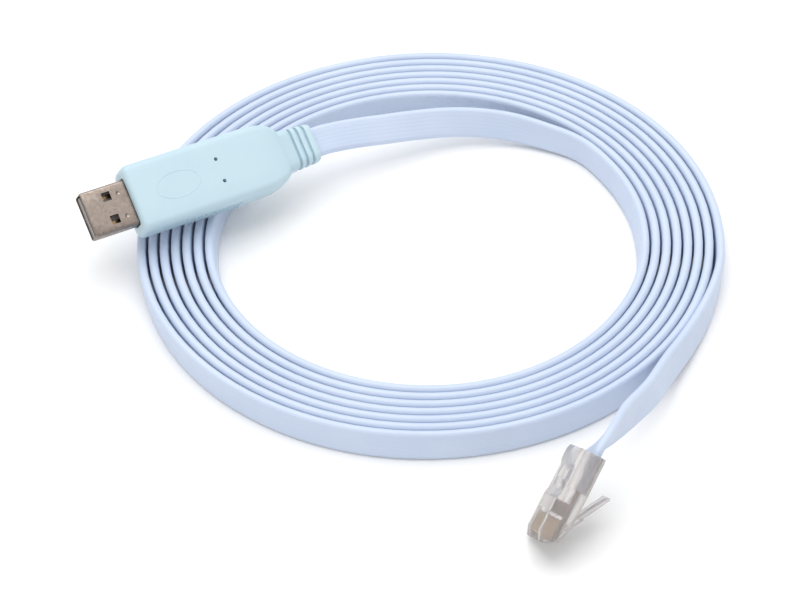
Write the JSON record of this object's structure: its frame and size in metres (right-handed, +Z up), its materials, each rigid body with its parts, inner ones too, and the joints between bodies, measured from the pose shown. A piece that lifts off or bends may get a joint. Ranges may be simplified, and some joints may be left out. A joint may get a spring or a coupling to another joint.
{
  "type": "rj45 console cable",
  "caption": "Flat pale blue cord coiled loosely on edge, with a moulded USB plug at one end and a clear modular plug with its latch at the other.",
  "frame": {"origin": "centre of the bounding box's base, on the surface that the coil lies on", "axes": "+X along the coil's long axis, towards the side where the cord's two ends leave the turns; +Y away from the clear plug; +Z up"},
  "size_m": [0.1656, 0.1664, 0.0263],
  "materials": {
    "cord_jacket": "satin flexible plastic",
    "housing": "satin moulded plastic",
    "shell_metal": "plated, lightly brushed",
    "tongue": "moulded",
    "contact_metal": "thin gold plating",
    "clear_plastic": "clear moulded polycarbonate",
    "conductor": "insulated wire"
  },
  "bodies": {
    "root": {"usb_shell": "shell_metal", "usb_tongue": "tongue", "usb_contact_1": "contact_metal", "usb_contact_2": "contact_metal", "usb_contact_3": "contact_metal", "usb_contact_4": "contact_metal", "usb_housing": "housing", "cable_coil": "cord_jacket", "cable_lead_usb": "cord_jacket", "cable_lead_modular": "cord_jacket", "modular_body": "clear_plastic", "modular_contact_1": "contact_metal", "modular_contact_2": "contact_metal", "modular_contact_3": "contact_metal", "modular_contact_4": "contact_metal", "modular_contact_5": "contact_metal", "modular_contact_6": "contact_metal", "modular_contact_7": "contact_metal", "modular_contact_8": "contact_metal", "conductor_1": "conductor", "conductor_2": "conductor", "conductor_3": "conductor", "conductor_4": "conductor", "conductor_5": "conductor", "conductor_6": "conductor", "conductor_7": "conductor", "conductor_8": "conductor"}
  },
  "joints": []
}
